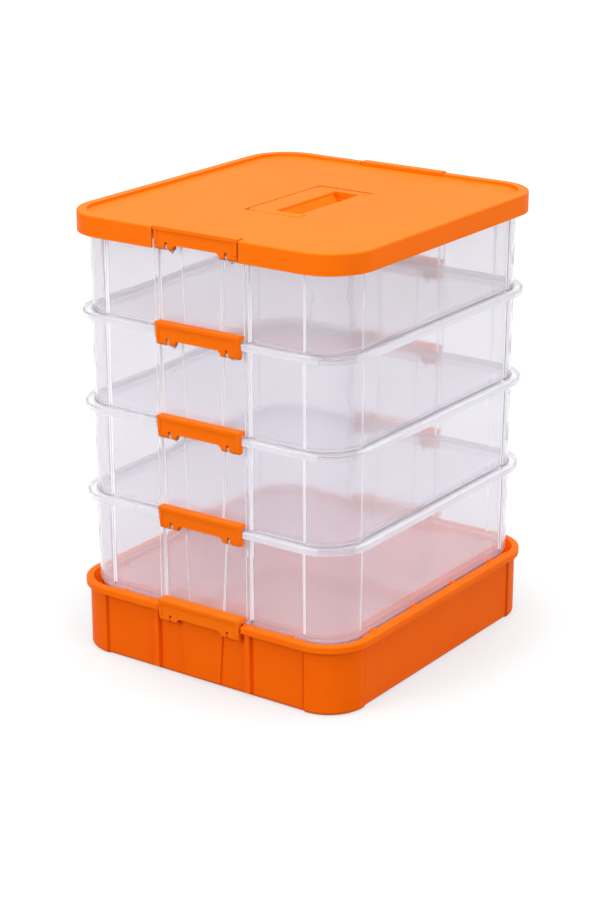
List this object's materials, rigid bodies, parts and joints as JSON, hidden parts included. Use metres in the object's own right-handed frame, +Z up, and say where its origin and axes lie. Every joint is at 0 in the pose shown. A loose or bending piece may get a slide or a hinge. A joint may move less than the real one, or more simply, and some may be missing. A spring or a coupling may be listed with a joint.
{
  "type": "stacking craft storage box",
  "caption": "Tall stacking craft box: clear nested bins on an orange base tray, latched front and rear, under an orange lid with a flush folding handle.",
  "frame": {"origin": "on the floor under the middle of the base tray", "axes": "+Z up, -Y out of the front latches, +X out of the plain right side"},
  "size_m": [0.302, 0.3314, 0.4086],
  "materials": {
    "orange_plastic": "satin moulded polypropylene, solid orange",
    "clear_plastic": "clear moulded polypropylene with a slight haze",
    "pin_steel": "plain bright steel"
  },
  "bodies": {
    "base_tray": {"base_tray": "orange_plastic", "front_latch_pins_5": "pin_steel", "rear_latch_pins_5": "pin_steel"},
    "bin_4": {"bin_4": "clear_plastic", "front_latch_pins_4": "pin_steel", "rear_latch_pins_4": "pin_steel"},
    "bin_3": {"bin_3": "clear_plastic", "front_latch_pins_3": "pin_steel", "rear_latch_pins_3": "pin_steel"},
    "bin_2": {"bin_2": "clear_plastic", "front_latch_pins_2": "pin_steel", "rear_latch_pins_2": "pin_steel"},
    "bin_1": {"bin_1": "clear_plastic", "front_latch_pins_1": "pin_steel", "rear_latch_pins_1": "pin_steel"},
    "lid": {"lid": "orange_plastic", "handle_pins": "pin_steel"},
    "carry_handle": {"carry_handle": "orange_plastic"},
    "front_latch_1": {"front_latch_1": "orange_plastic"},
    "rear_latch_1": {"rear_latch_1": "orange_plastic"},
    "front_latch_2": {"front_latch_2": "orange_plastic"},
    "rear_latch_2": {"rear_latch_2": "orange_plastic"},
    "front_latch_3": {"front_latch_3": "orange_plastic"},
    "rear_latch_3": {"rear_latch_3": "orange_plastic"},
    "front_latch_4": {"front_latch_4": "orange_plastic"},
    "rear_latch_4": {"rear_latch_4": "orange_plastic"},
    "front_latch_5": {"front_latch_5": "orange_plastic"},
    "rear_latch_5": {"rear_latch_5": "orange_plastic"}
  },
  "joints": [
    {"name": "bin_4_lift", "type": "slide", "parent": "base_tray", "child": "bin_4", "axis": [0, 0, 1], "range_m": [0, 0.1]},
    {"name": "bin_3_lift", "type": "slide", "parent": "bin_4", "child": "bin_3", "axis": [0, 0, 1], "range_m": [0, 0.1]},
    {"name": "bin_2_lift", "type": "slide", "parent": "bin_3", "child": "bin_2", "axis": [0, 0, 1], "range_m": [0, 0.1]},
    {"name": "bin_1_lift", "type": "slide", "parent": "bin_2", "child": "bin_1", "axis": [0, 0, 1], "range_m": [0, 0.1]},
    {"name": "lid_lift", "type": "slide", "parent": "bin_1", "child": "lid", "axis": [0, 0, 1], "range_m": [0, 0.1]},
    {"name": "handle_fold", "type": "hinge", "parent": "lid", "child": "carry_handle", "pos_m": [0.0285, 0, 0.402], "axis": [0, 1, 0], "range_deg": [0, 90]},
    {"name": "front_latch_1_hinge", "type": "hinge", "parent": "bin_1", "child": "front_latch_1", "pos_m": [0, -0.158, 0.3912], "axis": [1, 0, 0], "range_deg": [0, 105]},
    {"name": "rear_latch_1_hinge", "type": "hinge", "parent": "bin_1", "child": "rear_latch_1", "pos_m": [0, 0.158, 0.3912], "axis": [-1, 0, 0], "range_deg": [0, 105]},
    {"name": "front_latch_2_hinge", "type": "hinge", "parent": "bin_2", "child": "front_latch_2", "pos_m": [0, -0.158, 0.3077], "axis": [1, 0, 0], "range_deg": [0, 105]},
    {"name": "rear_latch_2_hinge", "type": "hinge", "parent": "bin_2", "child": "rear_latch_2", "pos_m": [0, 0.158, 0.3077], "axis": [-1, 0, 0], "range_deg": [0, 105]},
    {"name": "front_latch_3_hinge", "type": "hinge", "parent": "bin_3", "child": "front_latch_3", "pos_m": [0, -0.158, 0.2242], "axis": [1, 0, 0], "range_deg": [0, 105]},
    {"name": "rear_latch_3_hinge", "type": "hinge", "parent": "bin_3", "child": "rear_latch_3", "pos_m": [0, 0.158, 0.2242], "axis": [-1, 0, 0], "range_deg": [0, 105]},
    {"name": "front_latch_4_hinge", "type": "hinge", "parent": "bin_4", "child": "front_latch_4", "pos_m": [0, -0.158, 0.1407], "axis": [1, 0, 0], "range_deg": [0, 105]},
    {"name": "rear_latch_4_hinge", "type": "hinge", "parent": "bin_4", "child": "rear_latch_4", "pos_m": [0, 0.158, 0.1407], "axis": [-1, 0, 0], "range_deg": [0, 105]},
    {"name": "front_latch_5_hinge", "type": "hinge", "parent": "base_tray", "child": "front_latch_5", "pos_m": [0, -0.1615, 0.0542], "axis": [1, 0, 0], "range_deg": [0, 105]},
    {"name": "rear_latch_5_hinge", "type": "hinge", "parent": "base_tray", "child": "rear_latch_5", "pos_m": [0, 0.1615, 0.0542], "axis": [-1, 0, 0], "range_deg": [0, 105]}
  ]
}
